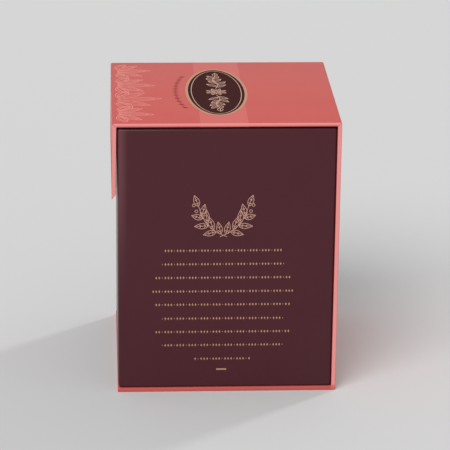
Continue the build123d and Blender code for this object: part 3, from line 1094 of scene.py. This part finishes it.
# %% Board, card and kraft
def fibrous(name, dark, light, fibre, roughness):
    """Board or card with flecks of fibre, drawn out along the sheet, of a size in millimetres."""
    made, tree, shader, place = new_material(name, roughness)
    drawn = add_node(tree, "ShaderNodeMapping", {"Scale": (1.0, 3.5, 1.6)}, {"Vector": place})
    flecks = add_node(
        tree,
        "ShaderNodeTexNoise",
        {"Scale": 1000 / fibre, "Detail": 4, "Roughness": 0.65},
        {"Vector": drawn.outputs[0]},
    )
    ramp = add_node(tree, "ShaderNodeValToRGB", links={"Fac": flecks.outputs["Fac"]})
    ramp.color_ramp.elements[0].position, ramp.color_ramp.elements[1].position = 0.35, 0.65
    ramp.color_ramp.elements[0].color = linear(dark)
    ramp.color_ramp.elements[1].color = linear(light)
    tree.links.new(ramp.outputs[0], shader.inputs["Base Color"])
    bump = add_node(
        tree,
        "ShaderNodeBump",
        {"Strength": 0.2, "Distance": 0.00005},
        {"Height": flecks.outputs["Fac"]},
    )
    tree.links.new(bump.outputs[0], shader.inputs["Normal"])
    return made


greyboard = fibrous("greyboard", "#847E76", "#A19B92", 1.2, 0.9)
insert_card = fibrous("dark_insert_card", "#452A2C", "#523336", 0.8, 0.75)
kraft = fibrous("kraft_paper", "#B7946A", "#C9A87E", 0.9, 0.8)
print("with fibres:", [sheet.name for sheet in (greyboard, insert_card, kraft)])

# %% Plated discs
mark_scale = 2500  # marks of 0.4 mm in the plating, coarse enough to show


def disc_metal(name, colour, roughness):
    """Plated metal, a little uneven in its gloss."""
    made, tree, shader, place = new_material(name, roughness, 1.0)
    shader.inputs["Base Color"].default_value = linear(colour)
    marks = add_node(
        tree, "ShaderNodeTexNoise", {"Scale": mark_scale, "Detail": 1}, {"Vector": place}
    )
    gloss = add_node(
        tree,
        "ShaderNodeMapRange",
        {"To Min": roughness - 0.07, "To Max": roughness + 0.1},
        {"Value": marks.outputs["Fac"]},
    )
    tree.links.new(gloss.outputs[0], shader.inputs["Roughness"])
    return made


nickel = disc_metal("nickel_plated_magnet", "#C9C8C4", 0.22)
zinc = disc_metal("zinc_plated_steel", "#A9AAAC", 0.4)
print("metals:", nickel.name, "and", zinc.name)

# %% Finish the CAD parts that stay
slot_materials = {
    "case_paper": pink_paper,
    "tray_paper": brown_paper,
    "lining_paper": lining_paper,
    "greyboard": greyboard,
    "insert_card": insert_card,
    "stay_paper": kraft,
    "magnet_metal": nickel,
    "keeper_steel": zinc,
}
for row in frame["record"]["subparts"]:
    node = frame["nodes"][row["node"]]
    node.data.materials.clear()
    node.data.materials.append(slot_materials[row["material_slot"]])

# %% [markdown]
# Each new piece gets its finish and smooth shading where edges are rounded. It is attached to the
# body that it moves with, and the CAD nodes that it stands for are hidden. The two paper hinges and
# their lining strips get no body: their placement is baked into their meshes.

# %% Finish a piece, and bake a hinge paper's placement
smooth_up_to = 32  # degrees, because the faces of a rounded edge turn by 30 at most


def finish_piece(piece, material, stands_for=(), body=None):
    """Gives a piece its material and shading, attaches it to its body and hides the nodes it stands
    for.
    """
    choose(piece)
    piece.data.name = piece.name
    piece.data.materials.clear()
    piece.data.materials.append(material)
    bpy.ops.object.shade_smooth_by_angle(angle=radians(smooth_up_to))
    if body:
        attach(piece, body)
    if stands_for:
        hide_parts(*stands_for)


def bend_between(piece):
    """Bakes a hinge paper's placement into its mesh."""
    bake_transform(piece)


# %% Finish the pieces
finish_piece(base_paper, pink_paper, ["base_wrap"], "root")
finish_piece(spine_paper, pink_paper, ["spine_wrap"], "root")
finish_piece(lid_paper, pink_paper, ["lid_wrap"], "lid")
finish_piece(flap_paper, pink_paper, ["flap_wrap"], "flap")
finish_piece(tray_paper, brown_paper, ["tray_wrap"], "root")
finish_piece(rear_fold_paper, pink_paper, ["rear_fold"])
finish_piece(front_fold_paper, pink_paper, ["front_fold"])
finish_piece(rear_hinge_lining, lining_paper, ["rear_fold_lining"])
finish_piece(front_hinge_lining, lining_paper, ["front_fold_lining"])
for piece in (rear_fold_paper, rear_hinge_lining):
    bend_between(piece)
for piece in (front_fold_paper, front_hinge_lining):
    bend_between(piece)
finish_piece(medallion, label_paper, body="lid")
finish_piece(medallion_rim, tan_foil, body="lid")
finish_piece(medallion_ornament, rose_foil, body="lid")
finish_piece(medallion_bow, deep_varnish, body="lid")
finish_piece(lid_tufts, pale_varnish, body="lid")
finish_piece(flap_tufts, pale_varnish, body="flap")
for piece in gold_lines:
    foil = rose_foil if "sprigs" in piece.name else gold_foil
    finish_piece(piece, foil, body="root")

# %% [markdown]
# A plain pale floor and soft studio light. A broad light stands in front of the box on the left. A
# weaker and smaller one behind it on the right draws the clear edge of the shadow that falls
# forwards. Both are suns, because a sun lights the floor evenly, and the wider its disc is, the
# softer is its shadow. The world gives the other half of the light, as a white room would.

# %% Floor
def floor_material():
    """Matt pale grey, with hardly visible clouds a third of a metre across."""
    made, tree, shader, place = new_material("matt_studio_floor", 0.9)
    shader.inputs["Specular IOR Level"].default_value = 0.0
    clouds = add_node(tree, "ShaderNodeTexNoise", {"Scale": 3, "Detail": 1}, {"Vector": place})
    tone = add_node(
        tree,
        "ShaderNodeMix",
        {"data_type": "RGBA", 6: linear("#D5D5D5"), 7: linear("#D7D7D7")},
        {"Factor": clouds.outputs["Fac"]},
    )
    tree.links.new(tone.outputs[2], shader.inputs["Base Color"])
    return made


deselect()
bpy.ops.mesh.primitive_plane_add(size=14)
floor = bpy.context.active_object
floor.name = "studio_floor"
floor.data.materials.append(floor_material())
print("floor", floor.dimensions.x, "m wide")

# %% Lights
def add_sun(name, azimuth, height, strength, softness):
    """A sun at an azimuth, 0 for the camera's side and 90 for the spine's, and a height.

    Both angles are in degrees, and so is its softness, the width of its disc.
    """
    deselect()
    bpy.ops.object.light_add(type="SUN")
    lamp = bpy.context.active_object
    lamp.name = name
    a, h = radians(azimuth), radians(height)
    towards = Vector((cos(h) * cos(a), cos(h) * sin(a), sin(h)))
    lamp.rotation_euler = (-towards).to_track_quat("-Z", "Y").to_euler()
    lamp.data.energy = strength
    lamp.data.angle = radians(softness)
    return strength * sin(h) / pi


floor_light = add_sun("key_light", -32, 48, strength=1.7, softness=38)
floor_light += add_sun("rear_light", 129, 50, strength=0.492, softness=5)
print("the suns' light on the floor:", round(floor_light, 3))

# %% World
world_light = 0.477
world = bpy.data.worlds.new("white_room")
bpy.context.scene.world = world
world.use_nodes = True
backdrop = world.node_tree.nodes["Background"]
rays = add_node(world.node_tree, "ShaderNodeLightPath").outputs
seen = add_node(
    world.node_tree,
    "ShaderNodeMath",
    {"operation": "MAXIMUM"},
    {0: rays["Is Camera Ray"], 1: rays["Is Glossy Ray"]},
)
level = add_node(
    world.node_tree,
    "ShaderNodeMapRange",
    {"To Min": world_light, "To Max": linear("#D5D5D5")[0]},
    {"Value": seen.outputs[0]},
)
world.node_tree.links.new(level.outputs[0], backdrop.inputs["Color"])
print("all light on the floor:", round(floor_light + world_light, 3))

# %% View settings
bpy.context.scene.view_settings.view_transform = "Standard"
print("view transform:", bpy.context.scene.view_settings.view_transform)
